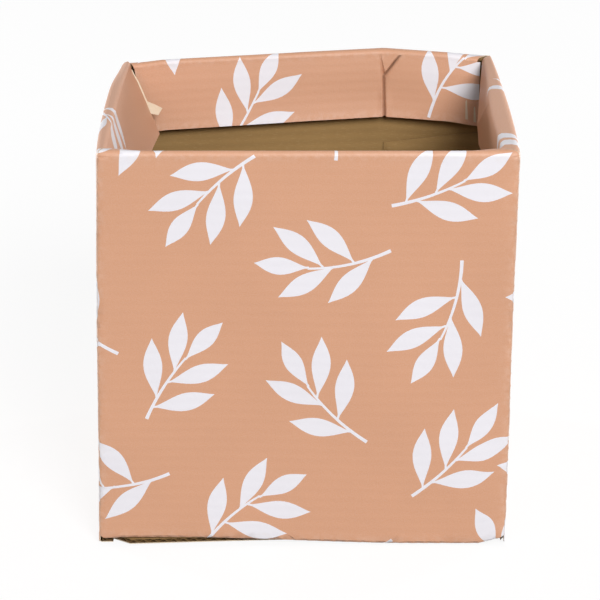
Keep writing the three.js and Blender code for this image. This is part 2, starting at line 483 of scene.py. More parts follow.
# The rest of the blank is filled on a staggered grid, each sprig turned until it clears its neighbours.
lattice = {
    "first": 142.0,
    "column": 46.7,
    "columns": 7,
    "base": 20.0,
    "row": 44.0,
    "rows": (-2, 4),
    "rimFrom": 112,  # above this only some columns have a sprig
    "rimColumns": ((200, 205), (355, 360)),
    "bends": (-22, 24),
    "columnTurn": 67,
    "rowTurn": 131,
    "tries": 24,
    "tryTurn": 45,
    "fullTurn": 8,  # tries before the sprig is shifted too
    "shift": 3.0,
    "shiftTurn": 100,
    "stemBack": 20,
    "near": 100,
    "gap": 4.0,
    "every": 4,  # points of an outline that are tried
}


def sprigPoints(row):
    return [(u % roundBlank, v) for shape in sprigShapes(*row) for u, v in shape[::lattice["every"]]]


def farFrom(points, others):
    u0, v0 = points[0]
    for other in others:
        u1, v1 = other[0]
        if abs(u0 - u1) > lattice["near"] or abs(v0 - v1) > lattice["near"]:
            continue
        for u, v in points:
            if any(abs(u - a) < lattice["gap"] and abs(v - b) < lattice["gap"] for a, b in other):
                return False
    return True


def latticeTrial(column, row, attempt):
    u = lattice["first"] + lattice["column"] * column
    v = lattice["base"] + lattice["row"] * (row + 0.5 * (column % 2))
    if v > lattice["rimFrom"] and not any(low <= u <= high for low, high in lattice["rimColumns"]):
        return None
    bend = lattice["bends"][(column + row) % 2]
    turn = column * lattice["columnTurn"] + row * lattice["rowTurn"] + lattice["tryTurn"] * attempt
    heading = turn % 360
    along = math.radians(heading + bend / 2)
    away = math.radians(heading + lattice["shiftTurn"])
    shift = lattice["shift"] * (attempt // lattice["fullTurn"])
    u += shift * math.cos(away)
    v += shift * math.sin(away)
    u -= lattice["stemBack"] * math.cos(along)
    v -= lattice["stemBack"] * math.sin(along)
    return (u, v, heading, bend, row % 2 == 0)


def latticeSprigs(placed):
    taken = [sprigPoints(row) for row in placed]
    rows = []
    for column in range(lattice["columns"]):
        for row in range(*lattice["rows"]):
            for attempt in range(lattice["tries"]):
                trial = latticeTrial(column, row, attempt)
                if not trial:
                    break
                points = sprigPoints(trial)
                if farFrom(points, taken):
                    taken.append(points)
                    rows.append(trial)
                    break
    return rows


printShapes = []
placedSprigs = frontSprigs + cornerSprigs + backSprigs
for row in placedSprigs + latticeSprigs(placedSprigs):
    printShapes.extend(sprigShapes(*row))
print("print:", len(printShapes), "leaves and stems")


def extent(outline):
    us = [u for u, v in outline]
    vs = [v for u, v in outline]
    return min(us), max(us), min(vs), max(vs)


def inksOn(side, outline):
    offset = blankStart(side)
    lowU, highU, lowV, highV = extent(outline)
    inks = []
    for shape in printShapes:
        for lap in (-roundBlank, 0, roundBlank):
            moved = [(u - offset + lap, v) for u, v in shape]
            leftU, rightU, downV, upV = extent(moved)
            if rightU > lowU and leftU < highU and upV > lowV and downV < highV:
                inks.append(moved)
    return inks


# Sheets: an outline and its inks are cut into triangles once, then the two faces of the
# sheet and its cut edge are made from them.
finishIndex = {"ground": 0, "leaf": 1, "edge": 2, "back": 3}  # places in a sheet's list of finishes
sharpFrom = {"sheet": 38, "flutes": 50}  # degrees
cutClose = 1e-4


def edgesOf(outline):
    return zip(outline, outline[1:] + outline[:1])


def alongOutline(outline, step):
    points = []
    for (u0, v0), (u1, v1) in edgesOf(outline):
        count = max(1, math.ceil(math.hypot(u1 - u0, v1 - v0) / step))
        for i in range(count):
            points.append((u0 + (u1 - u0) * i / count, v0 + (v1 - v0) * i / count))
    return points


def inside(u, v, outline):
    within = False
    for (u0, v0), (u1, v1) in edgesOf(outline):
        if (v0 > v) != (v1 > v) and u < u0 + (v - v0) * (u1 - u0) / (v1 - v0):
            within = not within
    return within


def spread(low, high, step, extra=()):
    count = max(1, round((high - low) / step))
    values = {low + (high - low) * i / count for i in range(count + 1)}
    return sorted(values | {value for value in extra if low < value < high})


def counterClockwise(outline):
    area = sum(a[0] * b[1] - b[0] * a[1] for a, b in edgesOf(outline))
    return outline if area > 0 else outline[::-1]


def cutSheet(outline, us, vs, inks=(), bare=(), folds=(), step=4.0):
    edge = alongOutline(counterClockwise(outline), step)
    points = [Vector(point) for point in edge]
    polygons = [list(range(len(points)))]
    finishOf = [finishIndex["ground"]]
    for shapes, finish in ((inks, "leaf"), (bare, "edge"), (folds, "ground")):
        for shape in shapes:
            first = len(points)
            points.extend(Vector(point) for point in counterClockwise(shape))
            polygons.append(list(range(first, len(points))))
            finishOf.append(finishIndex[finish])
    points.extend(Vector((u, v)) for u in us for v in vs if inside(u, v, outline))
    spots, _, triangles, _, _, owners = delaunay_2d_cdt(points, [], polygons, 0, cutClose)
    sheet = []
    for triangle, owner in zip(triangles, owners):
        if 0 in owner:
            a, b, c = (spots[i] for i in triangle)
            order = list(triangle)
            if (b - a).cross(c - a) < 0:
                order.reverse()
            sheet.append((order, max(finishOf[o] for o in owner)))
    return [(p.x, p.y) for p in spots], sheet


def newObject(name, data):
    obj = bpy.data.objects.new(name, data)
    scene.collection.objects.link(obj)
    return obj


def shadeSmooth(mesh, kind):
    mesh.polygons.foreach_set("use_smooth", [True] * len(mesh.polygons))
    mesh.set_sharp_from_angle(angle=math.radians(sharpFrom[kind]))
    mesh.update()


def pointValues(mesh, name, flat, valueAt):
    layer = mesh.attributes.new(name, "FLOAT", "POINT")
    for i in range(len(mesh.vertices)):
        layer.data[i].value = valueAt(*flat[i % len(flat)])


def unworn(u, v):
    return 0.0


def makeSheet(name, cut, place, near, far, finishes, offset=0.0, wearAndHighlight=unworn, paintedShade=None, inkedTo=-half):
    spots, triangles = cut
    used = sorted({i for triangle, _ in triangles for i in triangle})
    number = {old: new for new, old in enumerate(used)}
    count = len(used)
    flat = [spots[i] for i in used]
    faces = []
    directed = set()
    for triangle, printed in triangles:
        a, b, c = (number[i] for i in triangle)
        bends = max(spots[i][1] for i in triangle) < inkedTo  # turns over when the crease opens
        faces.append((printed, (a, b, c)))
        faces.append((printed if bends else finishIndex["back"], (c + count, b + count, a + count)))
        directed.update([(a, b), (b, c), (c, a)])
    for a, b in directed:
        if (b, a) not in directed:
            faces.append((finishIndex["edge"], (b, a, a + count, b + count)))
    faces.sort()
    vertices = [Vector(place(u, v, d)) * mm for d in (near, far) for u, v in flat]
    mesh = bpy.data.meshes.new(name)
    mesh.from_pydata(vertices, [], [corners for _, corners in faces])
    for material in finishes:
        mesh.materials.append(material)
    mesh.polygons.foreach_set("material_index", [finish for finish, _ in faces])
    layer = mesh.uv_layers.new(name="sheet")
    for loop in mesh.loops:
        u, v = flat[loop.vertex_index % count]
        layer.data[loop.index].uv = ((u + offset) * mm, v * mm)
    # rubbed wear on edges and creases, and a painted highlight along the right flap's ridge
    pointValues(mesh, "wearAndHighlight", flat, wearAndHighlight)
    # painted shade along creases, on the sheets that have it
    if paintedShade:
        pointValues(mesh, "paintedShade", flat, paintedShade)
    shadeSmooth(mesh, "sheet")
    return newObject(name, mesh)


# Nodes, for the flutes as well as the finishes
def feed(tree, socket, value):
    if isinstance(value, (int, float, tuple)):
        socket.default_value = value
    else:
        tree.links.new(value, socket)


def addNode(tree, kind, inputs):
    node = tree.nodes.new(kind)
    for label, value in inputs.items():
        feed(tree, node.inputs[label], value)
    return node


def calcNode(tree, operation, first, second=0.0):
    node = tree.nodes.new("ShaderNodeMath")
    node.operation = operation
    for socket, value in zip(node.inputs, (first, second)):
        feed(tree, socket, value)
    return node.outputs[0]


def mixNode(tree, factor, first, second):
    node = tree.nodes.new("ShaderNodeMix")
    node.data_type = "RGBA"
    for label, value in (("Factor", factor), ("A", first), ("B", second)):
        feed(tree, node.inputs[label], value)
    return node.outputs["Result"]


# Fluted sheet: one Geometry Nodes tree makes the wave for every panel.
fluteInputs = {
    "Length": "NodeSocketFloat",
    "Run": "NodeSocketFloat",
    "Pitch": "NodeSocketFloat",
    "Height": "NodeSocketFloat",
    "Paper": "NodeSocketFloat",
    "Spans": "NodeSocketInt",
    "Material": "NodeSocketMaterial",
}
fluteSteps = 8  # rows of faces in one wave
trimOver = 1.0  # how far the trimming block stands past the wave


def flutingNodes():
    tree = bpy.data.node_groups.new("flutedSheet", "GeometryNodeTree")
    tree.is_modifier = True
    for label, kind in fluteInputs.items():
        tree.interface.new_socket(name=label, in_out="INPUT", socket_type=kind)
    tree.interface.new_socket(name="Geometry", in_out="OUTPUT", socket_type="NodeSocketGeometry")
    given = tree.nodes.new("NodeGroupInput").outputs

    def calc(operation, first, second=0.0):
        return calcNode(tree, operation, first, second)

    count = calc("ROUND", calc("DIVIDE", given["Run"], given["Pitch"]))
    grid = addNode(tree, "GeometryNodeMeshGrid", {
        "Size X": given["Length"],
        "Size Y": given["Run"],
        "Vertices X": calc("ADD", given["Spans"], 1),
        "Vertices Y": calc("ADD", calc("MULTIPLY", count, fluteSteps), 1),
    })

    place = tree.nodes.new("GeometryNodeInputPosition")
    split = addNode(tree, "ShaderNodeSeparateXYZ", {"Vector": place.outputs[0]})
    share = calc("ADD", calc("DIVIDE", split.outputs["Y"], given["Run"]), 0.5)
    phase = calc("MULTIPLY", calc("MULTIPLY", share, count), 2 * math.pi)
    swing = calc("SUBTRACT", 1, calc("COSINE", phase))
    climb = calc("MULTIPLY", calc("SUBTRACT", given["Height"], given["Paper"]), 0.5)
    lift = addNode(tree, "ShaderNodeCombineXYZ", {"Z": calc("MULTIPLY", swing, climb)})
    waved = addNode(tree, "GeometryNodeSetPosition", {
        "Geometry": grid.outputs["Mesh"],
        "Offset": lift.outputs[0],
    })

    up = addNode(tree, "ShaderNodeCombineXYZ", {"Z": 1})
    thicken = addNode(tree, "GeometryNodeExtrudeMesh", {
        "Individual": False,
        "Mesh": waved.outputs[0],
        "Offset": up.outputs[0],
        "Offset Scale": given["Paper"],
    })
    under = addNode(tree, "GeometryNodeFlipFaces", {"Mesh": waved.outputs[0]})
    joined = addNode(tree, "GeometryNodeJoinGeometry", {"Geometry": thicken.outputs["Mesh"]})
    tree.links.new(under.outputs[0], joined.inputs["Geometry"])
    merged = addNode(tree, "GeometryNodeMergeByDistance", {"Geometry": joined.outputs[0]})
    real = addNode(tree, "GeometryNodeRealizeInstances", {"Geometry": merged.outputs[0]})
    paint = addNode(tree, "GeometryNodeSetMaterial", {
        "Geometry": real.outputs[0],
        "Material": given["Material"],
    })
    tree.links.new(paint.outputs[0], tree.nodes.new("NodeGroupOutput").inputs[0])
    return tree


def plainMesh(obj, name):
    evaluated = obj.evaluated_get(bpy.context.evaluated_depsgraph_get())
    mesh = bpy.data.meshes.new_from_object(evaluated)
    mesh.name = name
    for modifier in list(obj.modifiers):
        obj.modifiers.remove(modifier)
    spare = obj.data
    bpy.data.objects.remove(obj)
    bpy.data.meshes.remove(spare)
    return mesh


def flutedMesh(name, length, run, spans, material):
    obj = newObject(name, bpy.data.meshes.new(name))
    modifier = obj.modifiers.new("flutes", "NODES")
    modifier.node_group = flutedSheet
    values = {
        "Length": length,
        "Run": run,
        "Pitch": board["pitch"],
        "Height": board["flute"],
        "Paper": board["medium"],
        "Spans": spans,
        "Material": material,
    }
    for item in flutedSheet.interface.items_tree:
        if item.in_out == "INPUT":
            modifier[item.identifier] = values[item.name]
    return plainMesh(obj, name)


def trimmedTo(mesh, outline, name):
    low = -trimOver
    high = board["flute"] + trimOver
    count = len(outline)
    ring = counterClockwise(outline)
    vertices = [(u, v, low) for u, v in ring] + [(u, v, high) for u, v in ring]
    faces = [tuple(range(count))[::-1], tuple(range(count, 2 * count))]
    faces += [(i, (i + 1) % count, count + (i + 1) % count, count + i) for i in range(count)]
    cutterMesh = bpy.data.meshes.new("cutter")
    cutterMesh.from_pydata(vertices, [], faces)
    cutter = newObject("cutter", cutterMesh)
    obj = newObject(name, mesh)
    modifier = obj.modifiers.new("trim", "BOOLEAN")
    modifier.operation = "INTERSECT"
    modifier.solver = "EXACT"
    modifier.object = cutter
    trimmed = plainMesh(obj, name)
    bpy.data.objects.remove(cutter)
    bpy.data.meshes.remove(cutterMesh)
    return trimmed


def makeFlutes(name, place, box, spans, outline=None, taper=None):
    lowU, highU, lowV, highV = box
    mesh = flutedMesh(name, highU - lowU, highV - lowV, spans, flutingPaperAndShade)
    for vertex in mesh.vertices:
        vertex.co.x += (lowU + highU) / 2
        vertex.co.y += (lowV + highV) / 2
    if outline:
        mesh = trimmedTo(mesh, outline, name)
    for vertex in mesh.vertices:
        u, v, z = vertex.co
        if taper:
            u = taper(u, v)
        vertex.co = Vector(place(u, v, fluteInset + board["flute"] - z)) * mm
    mesh.materials.clear()  # the trimming leaves a bare slot on the cut edges
    mesh.materials.append(flutingPaperAndShade)
    mesh.polygons.foreach_set("material_index", [0] * len(mesh.polygons))
    shadeSmooth(mesh, "flutes")
    return newObject(name, mesh)


# Finishes
white = (1.0, 1.0, 1.0, 1.0)
black = (0.0, 0.0, 0.0, 1.0)


def linear(r, g, b):
    def one(value):
        c = value / 255
        return c / 12.92 if c <= 0.04045 else ((c + 0.055) / 1.055) ** 2.4

    return (one(r), one(g), one(b), 1.0)


def shaded(color, factor):
    return (color[0] * factor, color[1] * factor, color[2] * factor, 1.0)


class Shader:
    def __init__(self, name, coordinates, roughness):
        self.material = bpy.data.materials.new(name)
        self.material.use_nodes = True
        self.tree = self.material.node_tree
        self.surface = self.tree.nodes["Principled BSDF"]
        self.surface.inputs["Roughness"].default_value = roughness
        if coordinates == "sheet":
            source = self.tree.nodes.new("ShaderNodeUVMap")
            source.uv_map = "sheet"
            self.where = source.outputs["UV"]
        else:
            source = self.tree.nodes.new("ShaderNodeTexCoord")
            self.where = source.outputs["Object"]

    def stretched(self, scale):
        node = addNode(self.tree, "ShaderNodeMapping", {"Vector": self.where, "Scale": scale})
        return node.outputs["Vector"]

    def noise(self, scale, detail, where=None):
        inputs = {"Vector": where or self.where, "Scale": scale, "Detail": detail}
        return addNode(self.tree, "ShaderNodeTexNoise", inputs).outputs["Fac"]

    def mix(self, factor, first, second):
        return mixNode(self.tree, factor, first, second)

    def ramp(self, value, low, high):
        inputs = {"Value": value, "From Min": low, "From Max": high}
        return addNode(self.tree, "ShaderNodeMapRange", inputs).outputs["Result"]

    def calc(self, operation, first, second=0.0):
        return calcNode(self.tree, operation, first, second)

    def flutes(self):
        split = addNode(self.tree, "ShaderNodeSeparateXYZ", {"Vector": self.where})
        phase = self.calc("MULTIPLY", split.outputs["Y"], 2 * math.pi / (board["pitch"] * mm))
        return self.calc("SINE", phase)

    def relief(self, height, distance, strength):
        inputs = {"Height": height, "Distance": distance, "Strength": strength}
        node = addNode(self.tree, "ShaderNodeBump", inputs)
        self.tree.links.new(node.outputs["Normal"], self.surface.inputs["Normal"])

    def attribute(self, name):
        node = self.tree.nodes.new("ShaderNodeAttribute")
        node.attribute_name = name
        return node.outputs["Fac"]

    def color(self, value):
        self.tree.links.new(value, self.surface.inputs["Base Color"])


# noises are a scale and a detail, ranges the part of a noise that is stretched from none to full
inkLook = {
    "roughness": 0.48,
    "clouds": (38.0, 3.0),
    "tones": (0.95, 1.05),
    "speckle": (2600.0, 1.0),
    "speckleRange": (0.3, 0.7),
    "speckleLift": 0.07,
    "patches": (420.0, 3.0),
    "patchRange": (0.42, 0.62),
    "paintedShadeTone": 0.3,
    "fluteShow": 0.35,
    "grain": (700.0, 2.0),
    "relief": (0.00006, 0.5),  # metres, strength
}
rawLook = {
    "roughness": 0.9,
    "gloss": 0.25,
    "clouds": (60.0, 3.0),
    "tones": (0.9, 1.1),
    "hairs": (1.0, 3.0),
    "hairScale": (420.0, 2600.0, 900.0),
    "hairRange": (0.55, 0.75),
    "hairShow": 0.35,
    "bandShade": 0.06,
    "bandShow": 0.6,
    "grain": (900.0, 3.0),
    "relief": (0.0001, 0.5),
}


def inkFinish(name, tint, wornAndLitTint, wearAndHighlightShow):
    shader = Shader(name, "sheet", inkLook["roughness"])
    darker, lighter = (shaded(tint, tone) for tone in inkLook["tones"])
    body = shader.mix(shader.noise(*inkLook["clouds"]), darker, lighter)
    speckle = shader.ramp(shader.noise(*inkLook["speckle"]), *inkLook["speckleRange"])
    body = shader.mix(speckle, body, shader.mix(inkLook["speckleLift"], body, white))
    patches = shader.ramp(shader.noise(*inkLook["patches"]), *inkLook["patchRange"])
    # wear, and the painted highlight on the right flap's ridge, lighten the ink towards its worn tint
    rubbedAndLit = shader.calc("MULTIPLY", shader.attribute("wearAndHighlight"), patches)
    body = shader.mix(shader.calc("MULTIPLY", rubbedAndLit, wearAndHighlightShow), body, wornAndLitTint)
    # the print darkens towards deep terracotta under the painted shade
    shader.color(shader.mix(shader.attribute("paintedShade"), body, shaded(terracotta, inkLook["paintedShadeTone"])))
    ridges = shader.calc("MULTIPLY", shader.flutes(), inkLook["fluteShow"])
    height = shader.calc("ADD", ridges, shader.noise(*inkLook["grain"]))
    shader.relief(height, *inkLook["relief"])
    return shader.material


def rawFinish(name, tint, fibre, coordinates, bands=False):
    shader = Shader(name, coordinates, rawLook["roughness"])
    shader.surface.inputs["Specular IOR Level"].default_value = rawLook["gloss"]
    darker, lighter = (shaded(tint, tone) for tone in rawLook["tones"])
    body = shader.mix(shader.noise(*rawLook["clouds"]), darker, lighter)
    strands = shader.noise(*rawLook["hairs"], shader.stretched(rawLook["hairScale"]))
    hairs = shader.ramp(strands, *rawLook["hairRange"])
    body = shader.mix(shader.calc("MULTIPLY", hairs, rawLook["hairShow"]), body, fibre)
    height = shader.noise(*rawLook["grain"])
    if bands:
        wave = shader.flutes()
        body = shader.mix(shader.ramp(wave, -1.0, 1.0), body, shader.mix(rawLook["bandShade"], body, black))
        height = shader.calc("ADD", height, shader.calc("MULTIPLY", wave, rawLook["bandShow"]))
    shader.color(body)
    shader.relief(height, *rawLook["relief"])
    return shader.material


terracotta = linear(217, 159, 123)
terracottaInk = inkFinish("terracottaInk", terracotta, linear(232, 196, 174), wearAndHighlightShow=0.35)
leafInk = inkFinish("leafInk", linear(243, 240, 246), linear(240, 226, 214), wearAndHighlightShow=0.25)
paperCore = rawFinish("paperCore", linear(226, 207, 182), linear(240, 228, 208), "object")
# kraft back of the printed sheet, darkened past its own colour with painted shade for the flute tunnels
# behind it
paperBackAndShade = rawFinish("paperBackAndShade", linear(122, 94, 60), linear(150, 122, 84), "sheet")
kraftLiner = rawFinish("kraftLiner", linear(158, 126, 80), linear(190, 160, 112), "sheet", bands=True)
# cut edges of the kraft, darkened below the liner with painted shade so lit edges read dark
kraftEdgeAndShade = rawFinish("kraftEdgeAndShade", linear(150, 118, 76), linear(186, 156, 112), "object")
# fluting paper, its kraft colour darkened with painted shade for its dark tunnels
flutingPaperAndShade = rawFinish("flutingPaperAndShade", linear(132, 102, 64), linear(164, 134, 92), "object")
printFinishes = [terracottaInk, leafInk, paperCore, paperBackAndShade]
linerFinishes = [kraftLiner, kraftLiner, kraftEdgeAndShade, kraftLiner]
flutedSheet = flutingNodes()
print("finishes: ink, leaf, cream core, kraft, fluting")


def standsFor(obj, node, body):
    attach(obj, body)
    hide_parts(node)


def addPrint(panel, side, cut, place, wearAndHighlight=unworn):
    printed = makeSheet(
        panel + "_print", cut, place, 0.0, board["face"], printFinishes, blankStart(side), wearAndHighlight)
    standsFor(printed, panel + "_face", "pot")


def addFlutes(panel, body, place, box, spans, outline=None, taper=None):
    flutes = makeFlutes(panel + "_fluting", place, box, spans, outline, taper)
    standsFor(flutes, panel + "_flutes", body)


def addLiner(panel, body, side, cut, place):
    liner = makeSheet(
        panel + "_kraft", cut, place, linerInset, boardThick, linerFinishes, blankStart(side))
    standsFor(liner, panel + "_liner", body)


def nearEdge(distance, reach):
    return math.exp(-max(distance, 0.0) / reach)


# Walls
wallLook = {
    "step": 4.5,
    "linerStep": 5.0,
    "fluteSpans": 16,
    "edgeGap": 0.05,
    "cornerRows": (-1.2, 0.0, 0.4, 0.8),  # past the flat part
    "rimRows": (0.6, 1.5),
    "foldRow": 0.4,
    "foldRows": 4,
    "foldInset": 0.4,
    "foldGap": 0.5,
    "foldCorner": 8,
    "notch": 0.3,
    "notchRun": 1.4,
    "notchDrop": 0.7,
    "cornerWear": 1.3,
    "cornerRub": 0.8,  # the wear is full from here on
    "rimWear": 1.0,
    "rimShare": 0.8,
    "footWear": 1.0,
    "footRub": 0.5,
}


def foldSpan(side):
    inner = boardThick + wallLook["foldInset"]
    if side in longSides:
        return -half + boardThick + wallLook["foldGap"] + inner, half - inner
    return -half + inner + wallLook["foldCorner"], half - inner


def wallWear(bottom):
    def wearAndHighlight(u, v):
        corner = nearEdge(cornerFlat + wallLook["cornerRub"] - abs(u), wallLook["cornerWear"])
        top = wallLook["rimShare"] * nearEdge(creaseHeight - v, wallLook["rimWear"])
        low = nearEdge(v - bottom - wallLook["footRub"], wallLook["footWear"])
        return max(corner, top, low)

    return wearAndHighlight


cornerReach = cornerFlat + cornerBend * math.pi / 4 - wallLook["edgeGap"]
for side in sides:
    panel = side + "_wall"
    place = wallPlace(side)
    bottom = wallBottom[side]
    foldLow, foldHigh = foldSpan(side)
    foldEnd = bottom + foldRadius * (1 - math.pi / 2)
    foldTop = bottom + foldRadius
    notchLow = foldTop - wallLook["notchDrop"]
    outline = [
        (-cornerReach, foldTop + wallLook["notch"]),
        (-cornerReach + wallLook["notchRun"], notchLow),
        (foldLow, notchLow),
        (foldLow, foldEnd),
        (foldHigh, foldEnd),
        (foldHigh, notchLow),
        (cornerReach, foldTop + wallLook["notch"]),
        (cornerReach, creaseHeight),
        (-cornerReach, creaseHeight),
    ]
    ends = [cornerFlat + past for past in wallLook["cornerRows"]]
    us = spread(-cornerReach, cornerReach, wallLook["step"], ends + [-u for u in ends])
    rows = [foldEnd + wallLook["foldRow"] * (i + 1) for i in range(wallLook["foldRows"])]
    rows += [creaseHeight - below for below in wallLook["rimRows"]]
    vs = spread(foldEnd, creaseHeight, wallLook["step"], rows)
    cut = cutSheet(outline, us, vs, inksOn(side, outline))
    addPrint(panel, side, cut, place, wallWear(bottom))

    high = creaseHeight - board["glue"]
    addFlutes(panel, "pot", place, (-cornerFlat, cornerFlat, foldTop, high), wallLook["fluteSpans"])

    linerHalf = half - boardThick - board["glue"]
    low = bottom + linerInset
    outline = [(-linerHalf, low), (linerHalf, low), (linerHalf, high), (-linerHalf, high)]
    us = spread(-linerHalf, linerHalf, wallLook["linerStep"])
    vs = spread(low, high, wallLook["linerStep"])
    addLiner(panel, "pot", side, cutSheet(outline, us, vs), place)
print("walls: printed sheet, flutes and kraft on four sides")

# Rims
rimLook = {
    "gap": 0.25,
    "edgeGap": 0.05,
    "step": 1.6,
    "rows": 18,
    "coreInset": 0.55,
    "outerWear": (0.8, 1.2),  # share, reach
    "innerWear": (0.7, 1.0),
    "endWear": 1.0,
}


def rimHalf(s):
    inward, _ = rimSection(s, 0.0)
    if inward < cornerBend:
        quarter = cornerFlat + (cornerBend - inward) * math.pi / 4
        return quarter - rimLook["gap"] * inward / cornerBend - rimLook["edgeGap"]
    return half - inward - rimLook["gap"] - rimLook["edgeGap"]


def rimWear(u, v):
    s = v - creaseHeight
    outerShare, outerReach = rimLook["outerWear"]
    innerShare, innerReach = rimLook["innerWear"]
    outer = outerShare * nearEdge(s, outerReach)
    inner = innerShare * nearEdge(rimRun - s, innerReach)
    return max(outer, inner, nearEdge(rimHalf(s) - abs(u), rimLook["endWear"]))


stations = [rimRun * i / rimLook["rows"] for i in range(rimLook["rows"] + 1)]
outline = [(-rimHalf(s), creaseHeight + s) for s in reversed(stations)]
outline += [(rimHalf(s), creaseHeight + s) for s in stations]
us = spread(-half, half, rimLook["step"])
vs = [creaseHeight + s for s in stations]
for side in sides:
    place = rimPlace(side)
    cut = cutSheet(outline, us, vs, inksOn(side, outline))
    addPrint(side + "_rim", side, cut, place, rimWear)
    crushed = makeSheet(
        side + "_rim_core", cutSheet(outline, us, vs), place, rimLook["coreInset"],
        boardThick - board["glue"], linerFinishes, blankStart(side))
    standsFor(crushed, side + "_rim_board", "pot")
print("rims: printed roll over crushed board")

# Turned-in flaps
flapMesh = {
    "step": 3.5,
    "along": 1.75,
    "linerStep": 3.0,
    "fluteSpans": 90,
    "hingeGap": 2.0,
    "bendOver": 2.0,
    "bendRows": 12,
    "inkStep": 0.5,
    "inkedShare": 0.55,  # of the bend, whose far side shows when the flap is up
    "edgeWear": 0.8,
    "ridgeHighlight": 0.6,
    "creaseWear": (0.7, 1.0),  # share, reach
}


def flapEnd(side, end, s):
    which = 0 if end < 0 else 1
    taper = flapLook[side]["ends"][which]
    return flapHalf - flapLook[side]["endGaps"][which] - s * math.tan(math.radians(taper))


def flapOutline(side, gap):
    top = flapStart + gap
    return [
        (-flapEnd(side, -1, gap), top),
        (flapEnd(side, 1, gap), top),
        (flapEnd(side, 1, flapDepth), flapLow),
        (-flapEnd(side, -1, flapDepth), flapLow),
    ]


def foldStrips(line, width):
    (u0, s0), (u1, s1) = line
    length = math.hypot(u1 - u0, s1 - s0)
    across = ((s1 - s0) / length * width, (u0 - u1) / length * width)
    start = (u0, flapStart + s0)
    end = (u1, flapStart + s1)
    strips = []
    for hand in (-1, 1):
        outer = [(u + hand * across[0], v + hand * across[1]) for u, v in (end, start)]
        strips.append([start, end] + outer)
    return strips


def foldsOn(side):
    if side == "back":
        return [strip for line in kinkLines for strip in foldStrips(line, kinkFold["width"])]
    if side == "right":
        end = flapHalf - ridgeFold["endInset"]
        return foldStrips(((ridgeFold["start"], 0.0), (end, ridgeAt(end))), ridgeFold["width"])
    return []


# Streaks where the ink is scuffed off the back flap, beside the right one
scuffLook = {
    "streaks": ((-60.2, 15.0, 22.6), (-63.2, 17.0, 23.2)),  # u, top and foot below the crease
    "top": (-0.2, 0.3),
    "slant": 0.8,
    "foot": 0.5,
}


def scuffShape(u, top, foot):
    left, right = scuffLook["top"]
    return [
        (u + left, flapStart + top),
        (u + right, flapStart + top + scuffLook["slant"]),
        (u + scuffLook["foot"], flapStart + foot),
        (u - scuffLook["foot"], flapStart + foot),
    ]


def flapWearAndHighlight(side):
    def wearAndHighlight(u, v):
        s = v - flapStart
        end = 1 if u > 0 else -1
        nearest = min(flapDepth - s, flapEnd(side, end, s) - abs(u))
        rubbedAndLit = nearEdge(nearest, flapMesh["edgeWear"])
        # painted highlight along the right flap's ridge fold, lightened like the rubbed edges
        if side == "right" and u > ridgeFold["start"]:
            rubbedAndLit = max(rubbedAndLit, nearEdge(abs(s - ridgeAt(u)), flapMesh["ridgeHighlight"]))
        share, reach = flapMesh["creaseWear"]
        return max(rubbedAndLit, share * nearEdge(s, reach))

    return wearAndHighlight


# Painted shade along the back flap's kink lines, fading out a fold's width away
def kinkPaintedShade(u, v):
    shades = []
    for line, depth in zip(kinkLines, kinkFold["paintedShade"]):
        shades.append(depth * max(0.0, 1 - distanceTo(line, u, v - flapStart) / kinkFold["width"]))
    return max(shades)


us = spread(-flapHalf, flapHalf, flapMesh["along"])
rowStep = flapMesh["bendOver"] / flapMesh["bendRows"]
rows = [flapStart + rowStep * (i + 1) for i in range(flapMesh["bendRows"] + 2)]
vs = spread(flapStart, flapLow, flapMesh["step"], rows)
for side in sides:
    body = side + "_flap"
    place = flapPlace(side)
    outline = flapOutline(side, 0.0)
    folds = foldsOn(side)
    bare = [scuffShape(*streak) for streak in scuffLook["streaks"]] if side == "back" else []
    inks = [alongOutline(shape, flapMesh["inkStep"]) for shape in inksOn(side, outline)]
    cut = cutSheet(outline, us, vs, inks, bare, folds, flapMesh["along"])
    printed = makeSheet(
        side + "_flap_print", cut, place, 0.0, board["face"], printFinishes, blankStart(side),
        flapWearAndHighlight(side), kinkPaintedShade if side == "back" else None,
        inkedTo=flapStart + flapMesh["bendOver"] * flapMesh["inkedShare"])
    start = Vector(creases[side]["pos_m"])
    start.z -= max(rimDip[side], 0.0) * mm
    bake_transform(printed)
    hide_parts(side + "_flap_face")

    def narrowed(u, v, side=side):
        end = 1 if u > 0 else -1
        return u * flapEnd(side, end, v - flapStart) / flapHalf

    box = (-flapHalf, flapHalf, flapStart + flapMesh["hingeGap"], flapLow)
    addFlutes(body, body, place, box, flapMesh["fluteSpans"], taper=narrowed)
    outline = flapOutline(side, flapMesh["hingeGap"])
    cut = cutSheet(outline, us, vs, folds=folds, step=flapMesh["linerStep"])
    addLiner(body, body, side, cut, place)

# Scrap of face paper torn loose at the far end of the left flap, and the raised lip above it
tornPaper = {
    "outline": [  # out from the flap's end, and down it
        (0.0, 1.0),
        (0.33, 1.6),
        (0.55, 7.68),
        (0.55, 12.8),
        (2.4, 14.0),
        (4.8, 15.8),
        (2.4, 18.0),
        (0.0, 17.0),
    ],
    "step": 0.8,
    "rowStep": 1.0,
    "thick": 0.2,
    "inset": 0.3,
    "turn": 62.0,
    "curl": 5,  # degrees for each millimetre out
    "proud": 0.05,
    "rise": 0.15,
}


def tornPlace(reach, s, d):
    root = flapPlace("left")(-flapEnd("left", -1, s) + tornPaper["inset"], flapStart + s, d)
    turn = math.radians(tornPaper["turn"] + tornPaper["curl"] * reach)
    dx = reach * math.sin(turn) + tornPaper["proud"]
    dy = reach * math.cos(turn)
    return (root[0] + dx, root[1] + dy, root[2] + tornPaper["rise"] * reach)


